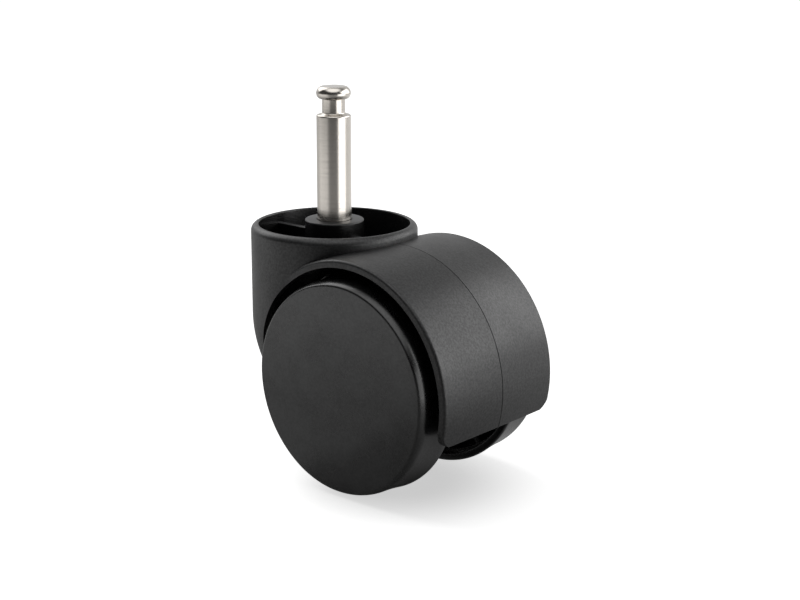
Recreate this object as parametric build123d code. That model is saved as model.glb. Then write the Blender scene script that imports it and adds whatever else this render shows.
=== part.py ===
from build123d import *
import math
import os

# Swivel stem castor: hooded twin-wheel furniture castor, 50 mm wheels, 8 mm plug-in stem.
# All sizes are in millimetres. The origin is on the swivel axis, in the top face of the
# stem boss, where the furniture's socket seats. +Z runs up the stem, +X points from the
# swivel axis to the wheel axle, and the axle lies along Y.

# Driving dimensions: the stem
shank_r = 4.0
stem_height = 30.8
head_height = 2.8
head_flat_r = 2.9
head_under_r = 3.3
head_widest_z = 29.2
neck_r = 2.67
neck_length = 3.4
shoulder_break = 0.4
shoulder_rise = 0.2
journal_r = 3.5
journal_length = 24.0
foot_nose_r = 5.0
foot_break = 0.8
ring_groove_z = -17.0
ring_groove_r = 2.6
ring_groove_play = 0.3
ring_height = 1.2
ring_out_r = 4.4
ring_in_r = 2.85
ring_gap = 2.2

# Driving dimensions: where the wheels sit
axle_x = 20.6
axle_z = -32.4
wheel_r = 25.0
wheel_face_y = 21.7
wheel_back_y = 11.5

# Driving dimensions: the housing's shell
wall = 1.8
cup_r = 19.45
rim_z = -0.8
rim_round = 1.65
back_turn_z = -22.0
back_turn_r = 31.0
back_foot_z = -38.0
hood_side_r = 28.7
hood_middle_r = 29.3
hood_half_width = 19.1
hood_edge_break = 0.5
hood_lip_z = -40.8
hood_lip_corner = 4.5
well_mouth_r = 27.0
well_middle_r = 26.85

# Driving dimensions: the bosses, the web and the struts inside the housing
boss_r = 6.85
boss_foot_z = -27.0
boss_top_break = 0.25
boss_foot_break = 2.0
stem_lead_in = 0.7
axle_boss_r = 6.4
axle_boss_y = 10.6
axle_boss_break = 0.6
web_top_z = -3.4
web_front_z = -36.3
web_foot_x = -8.5
web_foot_z = -37.0
web_thick = 1.6
strut_thick = 1.6
strut_half_width = 3.4
strut_sink = 1.2
strut_root_z = -21.0

# Driving dimensions: the wheel
tread_outer_r = 24.05
tread_crown_r = 60.0
face_round = 0.9
face_wall = 2.4
rim_wall = 2.4
rim_step = 0.7
rim_step_y = 13.6
rim_draft = 0.5
rim_sweep = 1.6
rim_sweep_depth = 1.3
edge_break = 0.4
hub_r = 6.2
hub_draft = 0.2
hub_face_y = 10.9
hub_bore_end_y = 19.6
hub_lead_in = 0.5
mid_ring_r = 14.2
mid_ring_back_y = 15.0
spoke_count = 8
spoke_phase = 13
spoke_thick = 1.5
spoke_back_y = 14.0
root_sink = 0.5

# Driving dimensions: the axle and its fits
axle_r = 3.0
axle_half_length = 19.2
axle_groove_y = 16.8
axle_groove_r = 2.65
axle_groove_width = 1.3
axle_end_chamfer = 0.6
wheel_fit = 0.04
foot_play = 0.05
stem_fit = 0.07
bead_clear = 0.15
bead_slope = 0.1

# How far a cutting body runs past the face that it opens
overrun = 1.0

AXLE = Pos(axle_x, 0, axle_z)


def turned_on_stem(*edges):
    """Solid of revolution about the stem, from a half section drawn as (radius, z)."""
    return revolve(Plane.XZ * make_face(edges), Axis.Z)


def turned_on_axle(*edges):
    """Solid of revolution about the axle, from a half section drawn as (radius, y)."""
    return AXLE * revolve(make_face(edges), Axis.Y)


def disc_on_stem(radius, z_low, z_high):
    return Pos(0, 0, (z_low + z_high) / 2) * Cylinder(radius, z_high - z_low)


def disc_on_axle(radius, y_low, y_high):
    return AXLE * Pos(0, (y_low + y_high) / 2, 0) * Rot(90, 0, 0) * Cylinder(radius, y_high - y_low)


def end_edges(piece, axis):
    """Edges of the first and the last face along an axis."""
    groups = piece.edges().group_by(axis)
    return groups[0] + groups[-1]


def crown_radius(inset, height):
    """Radius of an arc that starts square to its face and draws in by inset over height."""
    return (inset ** 2 + height ** 2) / (2 * inset)


def make_stem():
    """Turned steel stem: domed foot, snap-ring groove, journal, shank, neck and head."""
    head_z = stem_height - head_height
    shoulder_z = head_z - neck_length
    head_top_arc = crown_radius(shank_r - head_flat_r, stem_height - head_widest_z)
    head_low_arc = crown_radius(shank_r - head_under_r, head_widest_z - head_z)
    groove_low = ring_groove_z - ring_height / 2
    groove_high = ring_groove_z + ring_height / 2 + ring_groove_play
    foot_z = foot_play - journal_length
    nose_r = journal_r - foot_break
    nose_z = foot_z + foot_nose_r - math.sqrt(foot_nose_r ** 2 - nose_r ** 2)
    section = [
        RadiusArc((0, foot_z), (nose_r, nose_z), -foot_nose_r),
        Polyline(
            (nose_r, nose_z),
            (journal_r, nose_z + foot_break),
            (journal_r, groove_low),
            (ring_groove_r, groove_low),
            (ring_groove_r, groove_high),
            (journal_r, groove_high),
            (journal_r, journal_r - shank_r),
            (shank_r, 0),
            (shank_r, shoulder_z - shoulder_rise - shoulder_break),
            (shank_r - shoulder_break, shoulder_z - shoulder_rise),
            (neck_r + shoulder_rise, shoulder_z),
            (neck_r, shoulder_z + shoulder_rise),
            (neck_r, head_z),
            (head_under_r, head_z),
        ),
        RadiusArc((head_under_r, head_z), (shank_r, head_widest_z), -head_low_arc),
        RadiusArc((shank_r, head_widest_z), (head_flat_r, stem_height), -head_top_arc),
        Polyline((head_flat_r, stem_height), (0, stem_height), (0, foot_z)),
    ]
    return turned_on_stem(*section)


def make_stem_ring():
    """Open spring-steel ring that rests on the groove's lower face and snaps into the boss."""
    low = ring_groove_z - ring_height / 2
    high = ring_groove_z + ring_height / 2
    ring = disc_on_stem(ring_out_r, low, high) - disc_on_stem(ring_in_r, low, high)
    slot = Pos(ring_out_r, 0, ring_groove_z) * Box(2 * ring_out_r, ring_gap, 2 * ring_height)
    return ring - slot


def make_axle():
    """Straight steel pin with a snap groove and a chamfer at each end."""
    pin = disc_on_axle(axle_r, -axle_half_length, axle_half_length)
    pin = chamfer(end_edges(pin, Axis.Y), axle_end_chamfer)
    for side in (-1, 1):
        low = side * axle_groove_y - axle_groove_width / 2
        high = low + axle_groove_width
        pin -= disc_on_axle(axle_r + overrun, low, high) - disc_on_axle(axle_groove_r, low, high)
    return pin


def bowl(radius, top_round, turn_radius, foot_z, top_z):
    """Cup body: straight at the top, drawn in by a large arc towards its foot."""
    turn = math.degrees(math.asin((back_turn_z - foot_z) / turn_radius))
    centre = (radius - turn_radius, back_turn_z)
    foot_radius = radius - turn_radius * (1 - math.cos(math.radians(turn)))
    edges = [
        CenterArc(centre, turn_radius, -turn, turn),
        Line((radius, back_turn_z), (radius, top_z - top_round)),
        Polyline((radius - top_round, top_z), (0, top_z), (0, foot_z), (foot_radius, foot_z)),
    ]
    if top_round > 0:
        edges.append(RadiusArc((radius, top_z - top_round), (radius - top_round, top_z), -top_round))
    return turned_on_stem(*edges)


def hood_drum():
    """Solid drum of the hood's outer form, drafted to both sides from the middle plane."""
    edge_y = hood_half_width - hood_edge_break
    return turned_on_axle(Polyline(
        (0, -hood_half_width),
        (hood_side_r - hood_edge_break, -hood_half_width),
        (hood_side_r, -edge_y),
        (hood_middle_r, 0),
        (hood_side_r, edge_y),
        (hood_side_r - hood_edge_break, hood_half_width),
        (0, hood_half_width),
        close=True,
    ))


def wheel_well():
    """Space for both wheels, widening a little to each side so that the cores draw out."""
    reach = cup_r + overrun
    return turned_on_axle(Polyline(
        (0, -reach),
        (well_mouth_r, -reach),
        (well_middle_r, 0),
        (well_mouth_r, reach),
        (0, reach),
        close=True,
    ))


def hood_outline():
    """Front outline of the hood: straight sides and a straight lip with rounded corners."""
    depth = axle_x + hood_middle_r + overrun
    height = overrun - hood_lip_z
    outline = Pos(0, hood_lip_z + height) * Rectangle(2 * hood_half_width, 2 * height)
    outline = fillet(outline.vertices(), hood_lip_corner)
    lower_half = Pos(0, hood_lip_z + height / 2) * Rectangle(2 * hood_half_width, height)
    return extrude(Plane.YZ * (outline & lower_half), depth)


def strut(start, end):
    """Flat strut across the web, from one (x, z) point to another."""
    length = math.dist(start, end)
    slope = math.degrees(math.atan2(end[1] - start[1], end[0] - start[0]))
    middle = Pos((start[0] + end[0]) / 2, 0, (start[1] + end[1]) / 2)
    return middle * Rot(0, -slope, 0) * Box(length, 2 * strut_half_width, strut_thick)


def make_housing():
    """One-piece nylon moulding: stem cup, hood, web between the wheels, and both bosses."""
    cup = bowl(cup_r, rim_round, back_turn_r, back_foot_z, rim_z)
    hollow = bowl(cup_r - wall, 0, back_turn_r - wall, back_foot_z + wall, rim_z + overrun)
    drum = hood_drum()
    outer = cup + (drum & hood_outline())
    shell = outer - wheel_well() - (hollow - drum)

    # Web between the wheels, which also stands in the cup as a thin rib on each side of the boss
    hood_reach = axle_x + hood_middle_r
    web_outline = Polyline(
        (-cup_r, web_top_z),
        (hood_reach, web_top_z),
        (hood_reach, web_front_z),
        (axle_x, axle_z - axle_boss_r),
        (web_foot_x, web_foot_z),
        (-cup_r, web_foot_z),
        close=True,
    )
    web = extrude(Plane.XZ * make_face(web_outline), web_thick / 2, both=True)
    shell += web & outer

    # Bosses for the stem and the axle
    stem_boss = disc_on_stem(boss_r, boss_foot_z, 0)
    stem_boss = chamfer(stem_boss.edges().group_by(Axis.Z)[0], boss_foot_break)
    stem_boss = chamfer(stem_boss.edges().group_by(Axis.Z)[-1], boss_top_break)
    axle_boss = disc_on_axle(axle_boss_r, -axle_boss_y, axle_boss_y)
    axle_boss = chamfer(end_edges(axle_boss, Axis.Y), axle_boss_break)
    shell += stem_boss
    shell += axle_boss

    # Struts that carry the load from the stem boss over and under the axle boss
    strut_end_r = axle_boss_r - strut_sink
    shell += strut((boss_r - 2 * strut_sink, strut_root_z), (axle_x, axle_z + strut_end_r))
    shell += strut((0, boss_foot_z + strut_sink), (axle_x, axle_z - strut_end_r))

    # Stem bore with a lead-in, a seat for the domed foot and the snap ring's groove
    bore_r = journal_r + stem_fit
    shell -= disc_on_stem(bore_r, -journal_length, overrun)
    shell -= turned_on_stem(Polyline(
        (0, -stem_lead_in),
        (bore_r, -stem_lead_in),
        (bore_r + stem_lead_in + overrun, overrun),
        (0, overrun),
        close=True,
    ))
    shell -= disc_on_stem(ring_out_r + bead_clear, ring_groove_z - ring_height, ring_groove_z + ring_height)
    shell -= disc_on_axle(axle_r, -axle_boss_y - overrun, axle_boss_y + overrun)
    return shell


def wheel_body():
    """Closed outer face, soft outer edge, slightly crowned tread, open back and blind hub."""
    tread_start = wheel_face_y - face_round
    floor_y = wheel_face_y - face_wall
    rim_in_r = wheel_r - rim_wall
    return turned_on_axle(
        RadiusArc((tread_outer_r - face_round, wheel_face_y), (tread_outer_r, tread_start), face_round),
        RadiusArc((tread_outer_r, tread_start), (wheel_r, wheel_back_y + edge_break), tread_crown_r),
        Polyline(
            (wheel_r, wheel_back_y + edge_break),
            (wheel_r - edge_break, wheel_back_y),
            (rim_in_r + rim_step, wheel_back_y),
            (rim_in_r + rim_step, rim_step_y),
            (rim_in_r, rim_step_y),
            (rim_in_r - rim_draft, floor_y - rim_sweep_depth),
            (rim_in_r - rim_sweep, floor_y),
            (hub_r + hub_draft, floor_y),
            (hub_r, hub_face_y),
            (0, hub_face_y),
            (0, wheel_face_y),
            (tread_outer_r - face_round, wheel_face_y),
        ),
    )


def hub_bore():
    """Blind bore of the hub, with a lead-in and the snap bead that holds the wheel."""
    bore_r = axle_r + wheel_fit
    bead_r = axle_groove_r + bead_clear
    bead_half = axle_groove_width / 2 - bead_clear
    return turned_on_axle(Polyline(
        (0, hub_face_y - overrun),
        (bore_r + hub_lead_in, hub_face_y - overrun),
        (bore_r + hub_lead_in, hub_face_y),
        (bore_r, hub_face_y + hub_lead_in),
        (bore_r, axle_groove_y - bead_half),
        (bead_r, axle_groove_y - bead_half + bead_slope),
        (bead_r, axle_groove_y + bead_half - bead_slope),
        (bore_r, axle_groove_y + bead_half),
        (bore_r, hub_bore_end_y),
        (0, hub_bore_end_y),
        close=True,
    ))


def make_wheel(side):
    """One-piece nylon wheel, drawn for the +Y side and mirrored for the other one."""
    root_y = wheel_face_y - face_wall + root_sink
    body = wheel_body()
    body += (disc_on_axle(mid_ring_r + spoke_thick / 2, mid_ring_back_y, root_y)
             - disc_on_axle(mid_ring_r - spoke_thick / 2, mid_ring_back_y, root_y))
    spoke_in = hub_r - root_sink
    spoke_out = wheel_r - rim_wall + root_sink / 2
    middle = Pos((spoke_in + spoke_out) / 2, (spoke_back_y + root_y) / 2, 0)
    spoke = middle * Box(spoke_out - spoke_in, root_y - spoke_back_y, spoke_thick)
    for turn in range(spoke_count):
        body += AXLE * Rot(0, spoke_phase + turn * 360 / spoke_count, 0) * spoke
    body -= hub_bore()
    if side < 0:
        body = mirror(body, Plane.XZ)
    return body


os.makedirs("parts", exist_ok=True)
pieces = {
    "swivel_housing": make_housing(),
    "stem": make_stem(),
    "stem_snap_ring": make_stem_ring(),
    "wheel_axle": make_axle(),
    "wheel_left": make_wheel(1),
    "wheel_right": make_wheel(-1),
}
for name, piece in pieces.items():
    export_step(piece, os.path.join("parts", name + ".step"))
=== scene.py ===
import math

import bpy
from mathutils import Matrix, Vector


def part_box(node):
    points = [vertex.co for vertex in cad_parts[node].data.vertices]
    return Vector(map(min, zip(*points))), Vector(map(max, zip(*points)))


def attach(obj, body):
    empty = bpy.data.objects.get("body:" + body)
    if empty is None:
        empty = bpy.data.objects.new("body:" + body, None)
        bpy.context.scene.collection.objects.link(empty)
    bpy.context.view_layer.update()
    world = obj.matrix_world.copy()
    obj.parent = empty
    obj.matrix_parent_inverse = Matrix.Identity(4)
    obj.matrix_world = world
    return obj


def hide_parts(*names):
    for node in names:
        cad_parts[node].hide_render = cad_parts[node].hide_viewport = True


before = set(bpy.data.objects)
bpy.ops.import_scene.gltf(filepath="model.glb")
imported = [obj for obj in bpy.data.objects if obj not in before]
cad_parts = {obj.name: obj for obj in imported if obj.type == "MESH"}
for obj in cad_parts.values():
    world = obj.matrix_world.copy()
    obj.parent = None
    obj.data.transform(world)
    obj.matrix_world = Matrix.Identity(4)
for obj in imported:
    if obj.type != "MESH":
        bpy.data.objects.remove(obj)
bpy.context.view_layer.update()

# Swivel stem castor. Lengths are in millimetres and turned to metres by MM as they are used.
# The swivel axis is Z, and the axle lies along Y in front of it.
MM = 0.001


def box_mm(node):
    """Lowest and highest corner of a node of the frame, in millimetres."""
    low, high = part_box(node)
    return low / MM, high / MM


STEM_LOW, STEM_HIGH = box_mm("stem")
HOUSING_LOW, HOUSING_HIGH = box_mm("swivel_housing")
WHEEL_LOW, WHEEL_HIGH = box_mm("wheel_left")
AXLE_LOW, AXLE_HIGH = box_mm("wheel_axle")
RING_LOW, RING_HIGH = box_mm("stem_snap_ring")

# Sizes read from the frame
SHANK_R = STEM_HIGH.x
STEM_TOP = STEM_HIGH.z
STEM_FOOT = STEM_LOW.z
CUP_R = -HOUSING_LOW.x
LIP_Z = HOUSING_LOW.z
WHEEL_R = (WHEEL_HIGH.x - WHEEL_LOW.x) / 2
AXLE_X = (WHEEL_HIGH.x + WHEEL_LOW.x) / 2
AXLE_Z = (WHEEL_HIGH.z + WHEEL_LOW.z) / 2
FACE_Y = WHEEL_HIGH.y
HUB_FACE_Y = WHEEL_LOW.y
AXLE_R = (AXLE_HIGH.x - AXLE_LOW.x) / 2
AXLE_END = AXLE_HIGH.y
HOOD_R = HOUSING_HIGH.x - AXLE_X
FLOOR_Z = WHEEL_LOW.z

# Stem
HEAD_HEIGHT = 2.8
HEAD_FLAT_R = 2.9
HEAD_UNDER_R = 3.3
HEAD_WIDEST_DROP = 1.6
NECK_R = 2.67
NECK_LENGTH = 3.4
JOURNAL_R = 3.5
RING_GROOVE_R = 2.6
RING_INNER_R = 2.85
STEM_LEAD_IN = 0.7
STEM_PLAY = 0.07

# Housing
WALL = 1.8
RIM_Z = -0.8
RIM_ROUND = 1.65
BACK_TURN_Z = -22.0
BACK_TURN_R = 31.0
BACK_FOOT_Z = -38.0
HOOD_DRAFT = 0.6
HOOD_HALF_WIDTH = 19.1
HOOD_EDGE_ROUND = 0.7
LIP_CORNER = 4.5
WELL_MOUTH_R = 27.0
WELL_MIDDLE_R = 26.85
PARTING_WIDTH = 0.2
PARTING_DEPTH = 0.04
BOSS_R = 6.85
BOSS_FOOT_Z = -27.0
AXLE_BOSS_R = 6.4
AXLE_BOSS_Y = 10.6
WEB_TOP_Z = -3.4
WEB_FRONT_Z = -36.3
WEB_REAR_Z = -37.0
WEB_REAR_X = -8.5
WEB_THICK = 1.6
WEB_REACH = 0.975
STRUT_THICK = 1.6
STRUT_HALF_WIDTH = 3.4
STRUT_SINK = 1.2
STRUT_ROOT_Z = -21.0

# Wheel
FACE_EDGE_ROUND = 0.7
SHOULDER_MIDDLE_R = 20.65
SHOULDER_MIDDLE_Y = 19.4
SHOULDER_ROUND = 3.7
TREAD_CROWN_R = 60.0
TREAD_BACK_Y = 11.5
FACE_WALL = 2.4
RIM_WALL = 2.4
RIM_STEP = 0.7
RIM_STEP_Y = 13.6
RIM_DRAFT = 0.5
RIM_SWEEP = 1.6
RIM_SWEEP_DEPTH = 1.3
HUB_R = 6.2
HUB_BORE_END_Y = 19.6
MID_RING_R = 14.2
MID_RING_BACK_Y = 15.0
SPOKE_COUNT = 8
SPOKE_PHASE = 13
SPOKE_THICK = 1.5
SPOKE_EASE = 0.25
SPOKE_BACK_Y = 14.0
ROOT_SINK = 0.5

# Axle
AXLE_GROOVE_Y = 16.8
AXLE_GROOVE_R = 2.65
AXLE_GROOVE_WIDTH = 1.3
AXLE_CHAMFER = 0.6
HUB_PLAY = 0.04
BEAD_PLAY = 0.15

# How far a cutting body runs past the face that it opens, how far two faces keep apart so that
# they never lie in each other, and the distance at which points merge
OVERRUN = 1.0
CLEAR = 0.02
WELD = 1e-7

AXLE_CENTRE = Vector((AXLE_X, 0, AXLE_Z)) * MM


def on_stem(radius, height):
    """A point of a half section about the stem, in metres."""
    return Vector((radius, 0, height)) * MM


def on_axle(radius, along):
    """A point of a half section about the axle, in metres."""
    return AXLE_CENTRE + Vector((radius, along, 0)) * MM


SPIN_STEM = {"place": on_stem, "center": (0, 0, 0), "axis": (0, 0, 1)}
SPIN_AXLE = {"place": on_axle, "center": AXLE_CENTRE, "axis": (0, 1, 0)}


def choose(piece):
    """Makes a piece the only one that is selected, and the active one."""
    bpy.ops.object.select_all(action="DESELECT")
    piece.select_set(True)
    bpy.context.view_layer.objects.active = piece


def start_point(name, at):
    """A new piece of one point, from which a line is drawn, left in edit mode."""
    bpy.ops.object.select_all(action="DESELECT")
    bpy.ops.mesh.primitive_plane_add(size=MM, location=(0, 0, 0))
    piece = bpy.context.object
    piece.name = piece.data.name = name
    bpy.ops.object.mode_set(mode="EDIT")
    bpy.ops.mesh.select_all(action="SELECT")
    bpy.ops.mesh.merge(type="CENTER")
    bpy.ops.transform.translate(value=at)
    return piece


def draw_on(points):
    """Draws a line on from the selected point, by extruding it from point to point."""
    for start, end in zip(points, points[1:]):
        bpy.ops.mesh.extrude_region_move(TRANSFORM_OT_translate={"value": end - start})


def close_up():
    """Welds the points that coincide, and turns all faces outwards."""
    bpy.ops.mesh.select_all(action="SELECT")
    bpy.ops.mesh.remove_doubles(threshold=WELD)
    bpy.ops.mesh.normals_make_consistent(inside=False)
    bpy.ops.object.mode_set(mode="OBJECT")


def turned(name, section, spin, steps):
    """Draws half a section and spins it once round the stem or the axle."""
    points = [spin["place"](*point) for point in section]
    piece = start_point(name, points[0])
    draw_on(points)
    bpy.ops.mesh.select_all(action="SELECT")
    bpy.ops.mesh.spin(steps=steps, angle=math.radians(360), center=spin["center"], axis=spin["axis"])
    close_up()
    return piece


def plate(name, outline, half_width):
    """A flat plate across Y, from its outline in the X-Z plane."""
    points = [Vector((x, -half_width, z)) * MM for x, z in outline]
    piece = start_point(name, points[0])
    draw_on(points)
    bpy.ops.mesh.select_all(action="SELECT")
    bpy.ops.mesh.edge_face_add()
    bpy.ops.mesh.extrude_region_move(TRANSFORM_OT_translate={"value": (0, 2 * half_width * MM, 0)})
    close_up()
    return piece


def block(name, centre, size, turn_y=0.0):
    """A block of a given size, turned about Y by an angle in degrees."""
    bpy.ops.object.select_all(action="DESELECT")
    turn = (0, math.radians(turn_y), 0)
    bpy.ops.mesh.primitive_cube_add(size=1, location=Vector(centre) * MM, rotation=turn)
    piece = bpy.context.object
    piece.name = piece.data.name = name
    piece.scale = Vector(size) * MM
    bpy.ops.object.transform_apply(location=True, rotation=True, scale=True)
    return piece


def twin(piece):
    """A copy of a piece with its own mesh."""
    other = piece.copy()
    other.data = piece.data.copy()
    bpy.context.scene.collection.objects.link(other)
    return other


def combine(piece, tool, operation):
    """Joins (UNION), cuts (DIFFERENCE) or crosses (INTERSECT) a piece with a tool, and uses it up."""
    modifier = piece.modifiers.new("combine", "BOOLEAN")
    modifier.operation = operation
    modifier.solver = "EXACT"
    modifier.use_hole_tolerant = True
    modifier.object = tool
    choose(piece)
    bpy.ops.object.modifier_apply(modifier=modifier.name)
    bpy.data.objects.remove(tool)
    bpy.ops.object.mode_set(mode="EDIT")
    bpy.ops.mesh.select_all(action="SELECT")
    bpy.ops.mesh.remove_doubles(threshold=10 * WELD)
    bpy.ops.object.mode_set(mode="OBJECT")
    return piece


def soften(piece, angle=32):
    """Shades a finished piece smooth, apart from edges that are sharper than an angle."""
    choose(piece)
    bpy.ops.object.shade_smooth_by_angle(angle=math.radians(angle))
    return piece


def arc(centre, radius, start, end, count=8):
    """Points of an arc in a half section, from one angle to another in degrees."""
    angles = [math.radians(start + (end - start) * i / count) for i in range(count + 1)]
    return [(centre[0] + radius * math.cos(a), centre[1] + radius * math.sin(a)) for a in angles]


def bulge(start, end, radius, count=6):
    """Points of a large arc between two points, bulging to the left of the way from start to end."""
    start, end = Vector(start), Vector(end)
    chord = end - start
    normal = Vector((-chord.y, chord.x)).normalized()
    depth = math.sqrt(radius ** 2 - (chord.length / 2) ** 2)
    centre = (start + end) / 2 - normal * depth
    first = math.atan2(start.y - centre.y, start.x - centre.x)
    last = math.atan2(end.y - centre.y, end.x - centre.x)
    sweep = (last - first + math.pi) % (2 * math.pi) - math.pi
    return arc(centre, radius, math.degrees(first), math.degrees(first + sweep), count)


def crown_radius(inset, height):
    """Radius of an arc that starts square to its face and draws in by inset over height."""
    return (inset ** 2 + height ** 2) / (2 * inset)


def make_stem():
    """Turned steel stem: domed foot, ring groove, journal, shank, neck and mushroom head."""
    foot_ease, foot_rise, foot_dome_r, foot_side = 0.8, 0.9, 5.6, 1.7
    groove_play = 0.3
    shoulder_round, shoulder_drop = 0.45, 0.65
    neck_fillet, neck_rise = 0.3, 0.25
    fine = 0.15
    head_z = STEM_TOP - HEAD_HEIGHT
    widest_z = STEM_TOP - HEAD_WIDEST_DROP
    shoulder_z = head_z - NECK_LENGTH
    top_r = crown_radius(SHANK_R - HEAD_FLAT_R, HEAD_WIDEST_DROP)
    low_r = crown_radius(SHANK_R - HEAD_UNDER_R, widest_z - head_z)
    top_turn = math.degrees(math.asin(HEAD_WIDEST_DROP / top_r))
    low_turn = math.degrees(math.asin((widest_z - head_z) / low_r))
    section = [(0, STEM_FOOT)]
    foot_edge = (JOURNAL_R - foot_ease, STEM_FOOT + foot_rise)
    section += bulge(foot_edge, (0, STEM_FOOT), foot_dome_r)[::-1]
    section += [
        (JOURNAL_R, STEM_FOOT + foot_side),
        (JOURNAL_R, RING_LOW.z),
        (RING_GROOVE_R, RING_LOW.z),
        (RING_GROOVE_R, RING_HIGH.z + groove_play),
        (JOURNAL_R, RING_HIGH.z + groove_play),
        (JOURNAL_R, JOURNAL_R - SHANK_R),
        (SHANK_R, 0),
    ]
    section += arc((SHANK_R - shoulder_round, shoulder_z - shoulder_drop), shoulder_round, 0, 60, 5)
    section += arc((NECK_R + neck_fillet, shoulder_z + neck_rise), neck_fillet, 240, 180, 4)
    section += [(NECK_R, head_z - fine), (NECK_R + fine, head_z)]
    section += arc((SHANK_R - low_r, widest_z), low_r, -low_turn, 0, 8)
    section += arc((SHANK_R - top_r, widest_z), top_r, 0, top_turn, 10)[1:]
    section += [(HEAD_FLAT_R - fine, STEM_TOP), (0, STEM_TOP)]
    return soften(turned("stem_turned", section, SPIN_STEM, 128), 30)


def make_ring():
    """Open spring ring, a flat section that is spun past all but its gap, with its ends closed."""
    gap = 32
    ease = 0.12
    low, high = RING_LOW.z, RING_HIGH.z
    inner, outer = RING_INNER_R, RING_HIGH.y
    section = [
        (inner, low + ease),
        (inner + ease, low),
        (outer - ease, low),
        (outer, low + ease),
        (outer, high - ease),
        (outer - ease, high),
        (inner + ease, high),
        (inner, high - ease),
        (inner, low + ease),
    ]
    points = [on_stem(*point) for point in section]
    piece = start_point("snap_ring_formed", points[0])
    draw_on(points)
    bpy.ops.mesh.select_all(action="SELECT")
    bpy.ops.mesh.remove_doubles(threshold=WELD)
    bpy.ops.mesh.edge_face_add()
    bpy.ops.transform.rotate(value=math.radians(gap / 2), orient_axis="Z", center_override=(0, 0, 0))
    bpy.ops.mesh.spin(steps=60, angle=math.radians(360 - gap), center=(0, 0, 0), axis=(0, 0, 1))
    close_up()
    return soften(piece)


def make_axle():
    """Straight drawn pin with a snap groove near each chamfered end."""
    half = AXLE_GROOVE_WIDTH / 2
    one_side = [
        (AXLE_R, AXLE_GROOVE_Y - half),
        (AXLE_GROOVE_R, AXLE_GROOVE_Y - half),
        (AXLE_GROOVE_R, AXLE_GROOVE_Y + half),
        (AXLE_R, AXLE_GROOVE_Y + half),
        (AXLE_R, AXLE_END - AXLE_CHAMFER),
        (AXLE_R - AXLE_CHAMFER, AXLE_END),
        (0, AXLE_END),
    ]
    other_side = [(radius, -along) for radius, along in reversed(one_side)]
    return soften(turned("axle_pin", other_side + one_side, SPIN_AXLE, 96))


def bowl_section(radius, turn_r, foot_z):
    """Outline of the cup's body, from its foot up its back to where it is straight."""
    turn = math.degrees(math.asin((BACK_TURN_Z - foot_z) / turn_r))
    return arc((radius - turn_r, BACK_TURN_Z), turn_r, -turn, 0, 14)


def cup_body():
    """Outside of the stem cup, with its rounded rim."""
    outline = bowl_section(CUP_R, BACK_TURN_R, BACK_FOOT_Z)
    rim = arc((CUP_R - RIM_ROUND, RIM_Z - RIM_ROUND), RIM_ROUND, 0, 90, 10)
    section = [(0, BACK_FOOT_Z)] + outline + rim + [(0, RIM_Z)]
    return turned("housing_moulded", section, SPIN_STEM, 180)


def cup_hollow():
    """Inside of the stem cup, flared a little at the top to ease the rim's inner edge."""
    inner_r = CUP_R - WALL
    outline = bowl_section(inner_r, BACK_TURN_R - WALL, BACK_FOOT_Z + WALL)
    ease = 0.35
    flare = arc((inner_r + ease, RIM_Z - ease), ease, 180, 90, 4)
    section = [(0, BACK_FOOT_Z + WALL)] + outline + flare
    section += [(inner_r + ease, RIM_Z + OVERRUN), (0, RIM_Z + OVERRUN)]
    return turned("hollow", section, SPIN_STEM, 180)


def cup_core():
    """Body whose skin runs inside the cup's wall, where the part of the hood within the cup ends."""
    inset = WALL / 2
    radius, foot_z = CUP_R - inset, BACK_FOOT_Z + inset
    outline = bowl_section(radius, BACK_TURN_R - inset, foot_z)
    section = [(0, foot_z)] + outline + [(radius, RIM_Z - inset), (0, RIM_Z - inset)]
    return turned("core", section, SPIN_STEM, 180)


def hood_drum():
    """Drum of the hood's outer form, drafted to both sides, with a fine groove at the parting line."""
    side_r = HOOD_R - HOOD_DRAFT
    edge_y = HOOD_HALF_WIDTH - HOOD_EDGE_ROUND
    half = PARTING_WIDTH / 2
    rounded = arc((side_r - HOOD_EDGE_ROUND, edge_y), HOOD_EDGE_ROUND, 0, 90, 7)
    one_side = [(HOOD_R, half)] + rounded + [(0, HOOD_HALF_WIDTH)]
    groove = [(HOOD_R - PARTING_DEPTH, -half), (HOOD_R - PARTING_DEPTH, half)]
    other_side = [(radius, -along) for radius, along in reversed(one_side)]
    return turned("hood", other_side + groove + one_side, SPIN_AXLE, 240)


def hood_outline():
    """Body that gives the hood its straight sides, its straight lip and the lip's rounded corners."""
    depth = AXLE_X + HOOD_R + OVERRUN
    height = OVERRUN - LIP_Z
    centre = (depth / 2, 0, LIP_Z + height / 2)
    body = block("outline", centre, (depth, 2 * (HOOD_HALF_WIDTH + CLEAR), height))
    bpy.ops.object.mode_set(mode="EDIT")
    bpy.ops.mesh.select_all(action="DESELECT")
    bpy.ops.object.mode_set(mode="OBJECT")
    low = (LIP_Z + WELD) * MM
    for edge in body.data.edges:
        ends = [body.data.vertices[v].co for v in edge.vertices]
        along_x = abs(ends[0].x - ends[1].x) > MM
        edge.select = along_x and max(end.z for end in ends) < low + MM
    bpy.ops.object.mode_set(mode="EDIT")
    bpy.ops.mesh.select_mode(type="EDGE")
    bpy.ops.mesh.bevel(offset=LIP_CORNER * MM, segments=10)
    bpy.ops.mesh.select_mode(type="VERT")
    close_up()
    return body


def wheel_well():
    """Space for both wheels, a little wider at each mouth."""
    reach = CUP_R + OVERRUN
    mouths = (WELL_MOUTH_R, -reach), (WELL_MIDDLE_R, 0), (WELL_MOUTH_R, reach)
    section = [(0, -reach), *mouths, (0, reach)]
    return turned("well", section, SPIN_AXLE, 233)


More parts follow.
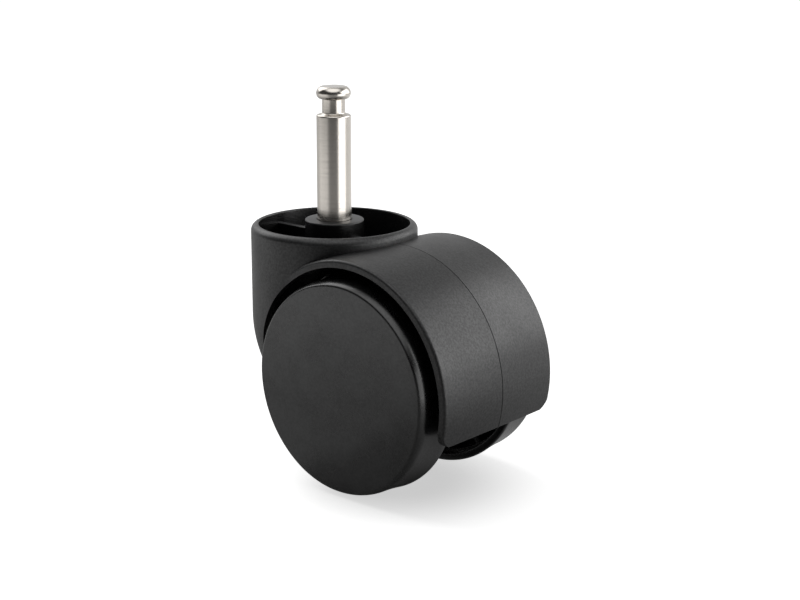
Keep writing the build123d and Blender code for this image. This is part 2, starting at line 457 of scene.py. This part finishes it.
def strut(start, end):
    """Flat strut across the web, from one (x, z) point to another."""
    (x1, z1), (x2, z2) = start, end
    length = math.dist(start, end)
    slope = math.degrees(math.atan2(z2 - z1, x2 - x1))
    middle = ((x1 + x2) / 2, 0, (z1 + z2) / 2)
    return block("strut", middle, (length, 2 * STRUT_HALF_WIDTH, STRUT_THICK), -slope)


def within_walls(outer):
    """A slightly smaller copy of the outer form, whose skin runs inside the walls."""
    core = twin(outer)
    middle = Matrix.Translation(AXLE_CENTRE)
    core.data.transform(middle @ Matrix.Scale(WEB_REACH, 4) @ middle.inverted())
    return core


def web_plate():
    """Thin web between the wheels, which also stands in the cup on each side of the boss."""
    reach = AXLE_X + HOOD_R
    outline = [
        (-CUP_R, WEB_TOP_Z),
        (reach, WEB_TOP_Z),
        (reach, WEB_FRONT_Z),
        (AXLE_X, AXLE_Z - AXLE_BOSS_R + 10 * CLEAR),
        (WEB_REAR_X, WEB_REAR_Z),
        (-CUP_R, WEB_REAR_Z),
    ]
    return plate("web", outline + outline[:1], WEB_THICK / 2)


def stem_boss():
    """Round boss that holds the stem, with eased edges."""
    ease, foot_round = 0.3, 2.0
    top = arc((BOSS_R - ease, -ease), ease, 0, 90, 5)
    foot = arc((BOSS_R - foot_round, BOSS_FOOT_Z + foot_round), foot_round, -90, 0, 8)
    return turned("stem_boss", [(0, BOSS_FOOT_Z)] + foot + top + [(0, 0)], SPIN_STEM, 96)


def axle_boss():
    """Round boss that holds the axle."""
    ease = 0.5
    end = arc((AXLE_BOSS_R - ease, AXLE_BOSS_Y - ease), ease, 0, 90, 5)
    other = [(radius, -along) for radius, along in reversed(end)]
    section = [(0, -AXLE_BOSS_Y)] + other + end + [(0, AXLE_BOSS_Y)]
    return turned("axle_boss", section, SPIN_AXLE, 96)


def stem_bore():
    """Bore for the stem, with a lead-in, the snap ring's groove and a flat end."""
    bore_r = JOURNAL_R + STEM_PLAY
    groove_r = RING_HIGH.y + 0.15
    middle = (RING_LOW.z + RING_HIGH.z) / 2
    half = RING_HIGH.z - RING_LOW.z
    end_z = STEM_FOOT - 0.05
    section = [
        (0, end_z),
        (bore_r, end_z),
        (bore_r, middle - half),
        (groove_r, middle - half),
        (groove_r, middle + half),
        (bore_r, middle + half),
        (bore_r, -STEM_LEAD_IN),
        (bore_r + STEM_LEAD_IN + OVERRUN, OVERRUN),
        (0, OVERRUN),
    ]
    return turned("bore", section, SPIN_STEM, 96)


def make_housing():
    """One-piece moulding: stem cup, hood, web, both bosses and the struts between them."""
    limits = combine(hood_outline(), cup_core(), "UNION")
    hood = combine(hood_drum(), limits, "INTERSECT")
    outer = combine(cup_body(), twin(hood), "UNION")
    web = combine(web_plate(), within_walls(outer), "INTERSECT")
    bpy.data.objects.remove(outer)
    shell = combine(cup_body(), cup_hollow(), "DIFFERENCE")
    combine(shell, hood, "UNION")
    combine(shell, wheel_well(), "DIFFERENCE")

    frame_work = combine(stem_boss(), axle_boss(), "UNION")
    end_r = AXLE_BOSS_R - STRUT_SINK
    upper_root = (BOSS_R - 2 * STRUT_SINK, STRUT_ROOT_Z)
    lower_root = (0, BOSS_FOOT_Z + STRUT_SINK)
    combine(frame_work, strut(upper_root, (AXLE_X, AXLE_Z + end_r)), "UNION")
    combine(frame_work, strut(lower_root, (AXLE_X, AXLE_Z - end_r)), "UNION")
    combine(frame_work, web, "UNION")
    combine(shell, frame_work, "UNION")
    combine(shell, stem_bore(), "DIFFERENCE")
    reach = AXLE_BOSS_Y + OVERRUN
    axle_hole = [(0, -reach), (AXLE_R, -reach), (AXLE_R, reach), (0, reach)]
    combine(shell, turned("hole", axle_hole, SPIN_AXLE, 96), "DIFFERENCE")
    return soften(shell, 25)


def wheel_section(side):
    """Half section of a wheel, from the middle of its face round its tread and back to its hub."""
    edge_y = FACE_Y - FACE_EDGE_ROUND
    edge_up = edge_y - SHOULDER_MIDDLE_Y
    edge_r = SHOULDER_MIDDLE_R + math.sqrt((SHOULDER_ROUND - FACE_EDGE_ROUND) ** 2 - edge_up ** 2)
    edge_turn = math.degrees(math.atan2(edge_up, edge_r - SHOULDER_MIDDLE_R))
    tread_start = (SHOULDER_MIDDLE_R + SHOULDER_ROUND, SHOULDER_MIDDLE_Y)
    floor_y = FACE_Y - FACE_WALL
    rim_in_r = WHEEL_R - RIM_WALL
    ring_out, ring_in = MID_RING_R + SPOKE_THICK / 2, MID_RING_R - SPOKE_THICK / 2
    bore_r = AXLE_R + HUB_PLAY
    bead_r = AXLE_GROOVE_R + BEAD_PLAY
    bead_half = AXLE_GROOVE_WIDTH / 2 - BEAD_PLAY
    bead_ease, hub_ease, lead_in = 0.1, 0.25, 0.5
    hub_fillet, floor_fillet = 0.2, 0.35
    ease = 0.4
    fine = 0.18
    section = [(0, FACE_Y), (edge_r / 2, FACE_Y)]
    section += arc((edge_r, edge_y), FACE_EDGE_ROUND, 90, edge_turn, 6)
    section += arc((SHOULDER_MIDDLE_R, SHOULDER_MIDDLE_Y), SHOULDER_ROUND, edge_turn, 0, 10)[1:]
    section += bulge((WHEEL_R, TREAD_BACK_Y + ease), tread_start, TREAD_CROWN_R)[::-1][1:]
    section += arc((WHEEL_R - ease, TREAD_BACK_Y + ease), ease, 0, -90, 5)[1:]
    section += arc((rim_in_r + RIM_STEP + fine, TREAD_BACK_Y + fine), fine, 270, 180, 3)
    section += [
        (rim_in_r + RIM_STEP, RIM_STEP_Y),
        (rim_in_r + fine, RIM_STEP_Y),
        (rim_in_r, RIM_STEP_Y + fine),
        (rim_in_r - RIM_DRAFT, floor_y - RIM_SWEEP_DEPTH),
        (rim_in_r - RIM_DRAFT - floor_fillet, floor_y - floor_fillet),
        (rim_in_r - RIM_SWEEP, floor_y),
    ]
    section += arc((ring_out + ease, floor_y - ease), ease, 90, 180, 4)
    section += [(ring_out, MID_RING_BACK_Y + fine), (ring_out - fine, MID_RING_BACK_Y)]
    section += [(ring_in + fine, MID_RING_BACK_Y), (ring_in, MID_RING_BACK_Y + fine)]
    section += arc((ring_in - ease, floor_y - ease), ease, 0, 90, 4)
    section += arc((HUB_R + hub_fillet + ease, floor_y - ease), ease, 90, 180, 4)
    section += arc((HUB_R - hub_ease, HUB_FACE_Y + hub_ease), hub_ease, 0, -90, 3)
    section += [
        (bore_r + lead_in, HUB_FACE_Y),
        (bore_r, HUB_FACE_Y + lead_in),
        (bore_r, AXLE_GROOVE_Y - bead_half),
        (bead_r, AXLE_GROOVE_Y - bead_half + bead_ease),
        (bead_r, AXLE_GROOVE_Y + bead_half - bead_ease),
        (bore_r, AXLE_GROOVE_Y + bead_half),
        (bore_r, HUB_BORE_END_Y),
        (0, HUB_BORE_END_Y),
    ]
    return [(radius, side * along) for radius, along in section]


def make_spokes(side):
    """Ring of thin straight spokes, one with eased back edges and the others spun from it."""
    root_y = FACE_Y - FACE_WALL + ROOT_SINK
    inner, outer = HUB_R - ROOT_SINK, WHEEL_R - RIM_WALL + ROOT_SINK / 2
    middle = Vector((AXLE_X + (inner + outer) / 2, side * (SPOKE_BACK_Y + root_y) / 2, AXLE_Z))
    size = (outer - inner, root_y - SPOKE_BACK_Y, SPOKE_THICK)
    spokes = block("spokes", middle, size)
    for edge in spokes.data.edges:
        ends = [spokes.data.vertices[v].co / MM for v in edge.vertices]
        at_back = all(abs(end.y - side * SPOKE_BACK_Y) < 0.01 for end in ends)
        edge.select = at_back and abs(ends[0].x - ends[1].x) > 1
    bpy.ops.object.mode_set(mode="EDIT")
    bpy.ops.mesh.select_mode(type="EDGE")
    bpy.ops.mesh.bevel(offset=SPOKE_EASE * MM, segments=3)
    bpy.ops.mesh.select_mode(type="VERT")
    bpy.ops.mesh.select_all(action="SELECT")
    others = SPOKE_COUNT - 1
    sweep = math.radians(360 / SPOKE_COUNT * others)
    bpy.ops.mesh.spin(steps=others, dupli=True, angle=sweep, center=AXLE_CENTRE, axis=(0, 1, 0))
    bpy.ops.object.mode_set(mode="OBJECT")
    turn = Matrix.Rotation(math.radians(SPOKE_PHASE), 4, "Y")
    spokes.data.transform(Matrix.Translation(AXLE_CENTRE) @ turn @ Matrix.Translation(-AXLE_CENTRE))
    return spokes


def make_wheel(side, name):
    """One-piece wheel: closed face with a soft shoulder, crowned tread, and an open ribbed back."""
    wheel = turned(name, wheel_section(side), SPIN_AXLE, 192)
    combine(wheel, make_spokes(side), "UNION")
    return soften(wheel)


def linear(code):
    """An sRGB hex colour as the linear colour that a shader takes."""
    parts = [int(code[i:i + 2], 16) / 255 for i in (1, 3, 5)]
    return [p / 12.92 if p <= 0.04045 else ((p + 0.055) / 1.055) ** 2.4 for p in parts] + [1.0]


WHITE = linear("#ffffff")


def add(tree, kind, inputs=(), **settings):
    """Adds a node to a tree. An input takes a value, or the output of another node."""
    node = tree.nodes.new(kind)
    for name, value in settings.items():
        setattr(node, name, value)
    for key, value in dict(inputs).items():
        if isinstance(value, bpy.types.NodeSocket):
            tree.links.new(value, node.inputs[key])
        else:
            node.inputs[key].default_value = value
    return node


def maths(tree, operation, first, second=0.0):
    """Result of a sum on one or two values."""
    return add(tree, "ShaderNodeMath", {0: first, 1: second}, operation=operation).outputs["Value"]


def vectors(tree, operation, first, second=(0, 0, 0)):
    """Results of a sum on one or two vectors, as "Vector" or as "Value"."""
    return add(tree, "ShaderNodeVectorMath", {0: first, 1: second}, operation=operation).outputs


def ramp(tree, value, start, end, low=0.0, high=1.0, curve="LINEAR"):
    """Goes from low to high while a value goes from start to end, and stays there beyond."""
    inputs = {"Value": value, "From Min": start, "From Max": end, "To Min": low, "To Max": high}
    return add(tree, "ShaderNodeMapRange", inputs, interpolation_type=curve).outputs["Result"]


def blend(tree, factor, first, second):
    """First value where the factor is 0, second value where it is 1."""
    inputs = {"Factor": factor, "A": first, "B": second}
    return add(tree, "ShaderNodeMix", inputs, data_type="FLOAT").outputs["Result"]


def tones(tree, value, start, end, dark, light):
    """Colour that goes from dark to light while a value goes from start to end."""
    node = add(tree, "ShaderNodeValToRGB", {"Fac": value})
    for element, position, code in zip(node.color_ramp.elements, (start, end), (dark, light)):
        element.position = position
        element.color = linear(code)
    return node.outputs["Color"]


def noise(tree, place, size_mm, detail=2.0, roughness=0.5):
    """Noise whose features are about that many millimetres across."""
    inputs = {"Vector": place, "Scale": 1 / (size_mm * MM), "Detail": detail, "Roughness": roughness}
    return add(tree, "ShaderNodeTexNoise", inputs).outputs["Fac"]


def bumps(tree, height, strength, depth_mm):
    """Shading normal of a surface whose pattern stands up that many millimetres."""
    inputs = {"Height": height, "Strength": strength, "Distance": depth_mm * MM}
    return add(tree, "ShaderNodeBump", inputs).outputs["Normal"]


def new_material(name):
    """A material without nodes yet, its tree, and the place in the object that it colours."""
    material = bpy.data.materials.new(name)
    material.use_nodes = True
    tree = material.node_tree
    tree.nodes.clear()
    return material, tree, add(tree, "ShaderNodeTexCoord").outputs["Object"]


def coat(tree, inputs):
    """Makes the surface of a material."""
    shader = add(tree, "ShaderNodeBsdfPrincipled", inputs)
    add(tree, "ShaderNodeOutputMaterial", {"Surface": shader.outputs["BSDF"]})


# Sizes of the nylon's pattern, where its finish changes, and where shade is painted along the parting
# line, in millimetres
GRAIN_MM = 0.5
GRAIN_DEPTH = 0.05
CLOUD_MM = 9.0
FLOW_MM = 6.0
SKIN_MM = 0.5
INSIDE_R = CUP_R - WALL + 0.05
INSIDE_TOP_Z = -0.4
LINE_HALF = PARTING_WIDTH / 2
LINE_FADE = 0.7 * PARTING_WIDTH
LINE_FROM_X = 22
LINE_FULL_X = 36
NYLON_IOR = 1.5

# Depth of the steel's tool marks in millimetres, and how far they are drawn out round its axis
MARK_DEPTH = 0.01
MARK_DRAW = (0.06, 0.06, 1.0)


def spark_eroded_nylon():
    """Glass-filled black nylon: a dry, fine-pebbled sheen with light specks, smooth within the cup,
    with painted shade along the parting line.
    """
    material, tree, place = new_material("spark_eroded_black_nylon")
    grain = noise(tree, place, GRAIN_MM, roughness=0.6)
    cloud = noise(tree, place, CLOUD_MM)
    along = add(tree, "ShaderNodeSeparateXYZ", {"Vector": place}).outputs

    # Inside of the cup, which the mould leaves smooth
    flat = vectors(tree, "MULTIPLY", place, (1, 1, 0))["Vector"]
    radius = vectors(tree, "LENGTH", flat)["Value"]
    within = maths(tree, "LESS_THAN", radius, INSIDE_R * MM)
    below = maths(tree, "LESS_THAN", along["Z"], INSIDE_TOP_Z * MM)
    inside = maths(tree, "MULTIPLY", within, below)

    # Parting line: painted shade, a dark hairline of low specular that grows clearer towards the
    # hood's front
    aside = maths(tree, "ABSOLUTE", along["Y"])
    line = ramp(tree, aside, LINE_HALF * MM, LINE_FADE * MM, 1.0, 0.0)
    onset = ramp(tree, along["X"], LINE_FROM_X * MM, LINE_FULL_X * MM)
    parting = maths(tree, "MULTIPLY", line, onset)

    gloss = ramp(tree, cloud, 0.3, 0.7, 0.40, 0.47)
    sheen = blend(tree, inside, ramp(tree, grain, 0.35, 0.7, 0.41, 0.61), 0.4)
    relief = bumps(tree, grain, 0.4, GRAIN_DEPTH)
    coat(tree, {
        "Base Color": tones(tree, grain, 0.35, 0.72, "#101011", "#1c1c1d"),
        "Roughness": blend(tree, inside, gloss, 0.26),
        # Painted shade: the specular falls to 0.05 on the parting line to stand in for its groove's
        # shadow
        "Specular IOR Level": blend(tree, parting, sheen, 0.05),
        "Normal": relief,
        "IOR": NYLON_IOR,
    })
    return material


def satin_nylon():
    """Black nylon from a polished mould: a smooth satin gloss with faint flow clouds."""
    material, tree, place = new_material("satin_black_nylon")
    flow = noise(tree, place, FLOW_MM, detail=3.0)
    mottle = maths(tree, "ADD", flow, noise(tree, place, SKIN_MM))
    coat(tree, {
        "Base Color": tones(tree, flow, 0.35, 0.7, "#101011", "#151516"),
        "Roughness": ramp(tree, flow, 0.3, 0.7, 0.25, 0.31),
        "Specular IOR Level": ramp(tree, mottle, 0.7, 1.3, 0.48, 0.66),
        "IOR": NYLON_IOR,
    })
    return material


def turned_steel(name, colour_code, roughness, mark_mm):
    """Steel with fine tool marks round its axis, which draw a highlight out into soft bands."""
    material, tree, place = new_material(name)
    drawn_out = add(tree, "ShaderNodeMapping", {"Vector": place, "Scale": MARK_DRAW})
    marks = noise(tree, drawn_out.outputs["Vector"], mark_mm, detail=3.0)
    relief = bumps(tree, marks, 0.25, MARK_DEPTH)
    coat(tree, {
        "Base Color": linear(colour_code),
        "Metallic": 1.0,
        "Roughness": ramp(tree, marks, 0.3, 0.7, roughness - 0.04, roughness + 0.05),
        "Normal": relief,
    })
    return material


def dress(piece, material, body, node):
    """Gives a finished piece its material and its body, and hides the node that it stands for."""
    piece.data.materials.clear()
    piece.data.materials.append(material)
    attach(piece, body)
    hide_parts(node)


GRAINED = spark_eroded_nylon()
SATIN = satin_nylon()
BRIGHT = turned_steel("bright_turned_steel", "#bfbab3", 0.22, 0.35)
DRAWN = turned_steel("drawn_steel", "#b9b8b6", 0.28, 0.5)
SPRING = turned_steel("phosphated_spring_steel", "#5c5c5e", 0.42, 0.4)

dress(make_housing(), GRAINED, "swivel_body", "swivel_housing")
dress(make_stem(), BRIGHT, "stem_body", "stem")
dress(make_ring(), SPRING, "stem_body", "stem_snap_ring")
dress(make_axle(), DRAWN, "swivel_body", "wheel_axle")
dress(make_wheel(1, "left_wheel_moulded"), SATIN, "left_wheel_body", "wheel_left")
dress(make_wheel(-1, "right_wheel_moulded"), SATIN, "right_wheel_body", "wheel_right")

# Camera, fitted to the outlines: angles in degrees, distances in millimetres from the origin
CAMERA_AZIMUTH = 40.685
CAMERA_ELEVATION = 14.76
CAMERA_ROLL = 0.19
CAMERA_DISTANCE = 362.5
CAMERA_RIGHT = 15.28
CAMERA_UP = -19.03
CAMERA_LENS = 69.96
SENSOR_WIDTH = 36


def direction(azimuth, elevation):
    """Unit vector from the object towards a place, with azimuth 0 at -Y and 90 at +X."""
    a, e = math.radians(azimuth), math.radians(elevation)
    return Vector((math.sin(a) * math.cos(e), -math.cos(a) * math.cos(e), math.sin(e)))


def add_camera():
    """Camera at the photograph's viewing angle."""
    back = direction(CAMERA_AZIMUTH, CAMERA_ELEVATION)
    right = Vector((0, 0, 1)).cross(back).normalized()
    up = back.cross(right)
    roll = math.radians(CAMERA_ROLL)
    rolled_right = right * math.cos(roll) + up * math.sin(roll)
    rolled_up = up * math.cos(roll) - right * math.sin(roll)
    place = (rolled_right * CAMERA_RIGHT + rolled_up * CAMERA_UP + back * CAMERA_DISTANCE) * MM
    data = bpy.data.cameras.new("camera")
    data.lens = CAMERA_LENS
    data.sensor_width = SENSOR_WIDTH
    data.sensor_fit = "HORIZONTAL"
    data.clip_start = 0.01
    camera = bpy.data.objects.new("camera", data)
    bpy.context.scene.collection.objects.link(camera)
    turn = Matrix((rolled_right, rolled_up, back)).transposed().to_4x4()
    camera.matrix_world = Matrix.Translation(place) @ turn
    bpy.context.scene.camera = camera


OBJECT_CENTRE = Vector((AXLE_X / 2, 0, AXLE_Z / 2)) * MM


def softbox(name, azimuth, elevation, distance, size, level, diffuse=True):
    """Soft lamp that faces the object. Level is how bright a mirror shows it."""
    data = bpy.data.lights.new(name, "AREA")
    data.shape = "RECTANGLE"
    data.size, data.size_y = size
    data.energy = level * size[0] * size[1] * math.pi
    lamp = bpy.data.objects.new(name, data)
    bpy.context.scene.collection.objects.link(lamp)
    away = direction(azimuth, elevation)
    turn = away.to_track_quat("Z", "Y")
    lamp.location = OBJECT_CENTRE + away * distance
    lamp.rotation_euler = turn.to_euler()
    lamp.visible_camera = False
    lamp.visible_diffuse = diffuse


# Light levels: 1 is white. Distances are in metres, angles in degrees.
# The floor's glow for the camera dips to FLOOR_LIFT round SHADE_CENTRE: a painted shade spot, fixed
# where the castor rests, in which the paper's real shadow shows
SHADE_CENTRE = (0.024, -0.004, 0)
SHADE_FROM = 0.008
SHADE_TO = 0.040
FLOOR_LIFT = 0.57
# Painted shade in what the object mirrors: the floor's glow is dimmed under the castor (UNDER_*), near
# it (NEAR_LEVEL) and in DARK_SECTORS
UNDER_FROM = 0.008
UNDER_TO = 0.025
UNDER_LEVEL = 0.05
WHITE_FROM = 0.06
WHITE_TO = 0.20
NEAR_LEVEL = 0.3
FAR_LEVEL = 0.85
DARK_SECTORS = [(38, 20, 44, 0.2), (-108, 12, 55, 0.35)]
ROOM_LEVEL = 0.06
BACKDROP_LEVEL = 0.8
BACKDROP_SPREAD = (0.1, 0.75)
CEILING_LEVEL = 1.8
CEILING_ELEVATION = 72
CEILING_SPREAD = (0.72, 0.95)
FLOOR_RADIUS = 3
SMOOTH = "SMOOTHSTEP"


def ray_seen(tree):
    """Kinds of ray in a tree, and whether a ray comes from the camera, also through glass."""
    rays = add(tree, "ShaderNodeLightPath").outputs
    return rays, maths(tree, "MAXIMUM", rays["Is Camera Ray"], rays["Is Transmission Ray"])


def white_floor():
    """White paper floor: pure white to the camera, but for the soft shadow close to the object, partly
    the paper's real shadow and partly a painted shade spot that stays where the castor rests.
    """
    material, tree, place = new_material("white_paper")
    rays, seen = ray_seen(tree)
    # Painted shadow: the white glow dips round SHADE_CENTRE, so the paper's real shadow shows there,
    # and the spot stays grey where nothing shades it
    shade = vectors(tree, "DISTANCE", place, SHADE_CENTRE)["Value"]
    lift = ramp(tree, shade, SHADE_FROM, SHADE_TO, FLOOR_LIFT, 1.0, SMOOTH)
    shown = maths(tree, "MULTIPLY", seen, lift)

    # What the object mirrors: a glowing floor with painted shade, dim near the object, darkest under
    # it, and dim in the sectors at the view's sides
    reach = vectors(tree, "LENGTH", place)["Value"]
    level = ramp(tree, reach, WHITE_FROM, WHITE_TO, NEAR_LEVEL, FAR_LEVEL, SMOOTH)
    # Painted shade under the castor, in what the object mirrors
    painted_under_shade = ramp(tree, shade, UNDER_FROM, UNDER_TO, UNDER_LEVEL, 1.0, SMOOTH)
    level = maths(tree, "MULTIPLY", level, painted_under_shade)
    way = vectors(tree, "NORMALIZE", place)["Vector"]
    for azimuth, narrow, wide, dark in DARK_SECTORS:
        turned_to = vectors(tree, "DOT_PRODUCT", way, direction(azimuth, 0))["Value"]
        outer, inner = math.cos(math.radians(wide)), math.cos(math.radians(narrow))
        level = maths(tree, "MULTIPLY", level, ramp(tree, turned_to, outer, inner, 1.0, dark, SMOOTH))
    mirrored = maths(tree, "MULTIPLY", rays["Is Glossy Ray"], level)

    paper = add(tree, "ShaderNodeBsdfDiffuse", {"Color": linear("#f0f0ef")})
    strength = maths(tree, "MAXIMUM", shown, mirrored)
    glow = add(tree, "ShaderNodeEmission", {"Strength": strength, "Color": WHITE})
    both = add(tree, "ShaderNodeAddShader", {0: paper.outputs["BSDF"], 1: glow.outputs["Emission"]})
    add(tree, "ShaderNodeOutputMaterial", {"Surface": both.outputs["Shader"]})

    bpy.ops.object.select_all(action="DESELECT")
    bpy.ops.mesh.primitive_circle_add(
        vertices=64, radius=FLOOR_RADIUS, fill_type="NGON", location=(0, 0, FLOOR_Z * MM))
    floor = bpy.context.object
    floor.name = "floor"
    floor.data.materials.append(material)


def studio_world():
    """White for the camera. The object sees a white backdrop, a bright ceiling and a dim room."""
    world = bpy.data.worlds.new("studio")
    bpy.context.scene.world = world
    world.use_nodes = True
    tree = world.node_tree
    tree.nodes.clear()
    rays, seen = ray_seen(tree)
    way = add(tree, "ShaderNodeTexCoord").outputs["Generated"]
    behind = vectors(tree, "DOT_PRODUCT", way, direction(CAMERA_AZIMUTH + 180, 0))["Value"]
    backdrop = ramp(tree, behind, *BACKDROP_SPREAD, ROOM_LEVEL, BACKDROP_LEVEL, SMOOTH)
    overhead = direction(CAMERA_AZIMUTH, CEILING_ELEVATION)
    above = vectors(tree, "DOT_PRODUCT", way, overhead)["Value"]
    ceiling = ramp(tree, above, *CEILING_SPREAD, ROOM_LEVEL, CEILING_LEVEL, SMOOTH)
    mirrored = maths(tree, "MAXIMUM", backdrop, ceiling)
    level = blend(tree, rays["Is Glossy Ray"], ROOM_LEVEL, mirrored)
    room = add(tree, "ShaderNodeBackground", {"Strength": level, "Color": WHITE})
    white = add(tree, "ShaderNodeBackground", {"Strength": 1.0, "Color": WHITE})
    mixed = add(tree, "ShaderNodeMixShader",
                {"Fac": seen, 1: room.outputs["Background"], 2: white.outputs["Background"]})
    add(tree, "ShaderNodeOutputWorld", {"Surface": mixed.outputs["Shader"]})


add_camera()
white_floor()
studio_world()
softbox("overhead", -92, 42, 1.0, (0.8, 0.8), 2.0)
softbox("key", 136, 25, 0.6, (0.8, 0.45), 2.8, diffuse=False)
softbox("right card", 98, 0, 0.22, (0.22, 0.14), 1.9, diffuse=False)
bpy.context.scene.view_settings.view_transform = "Standard"
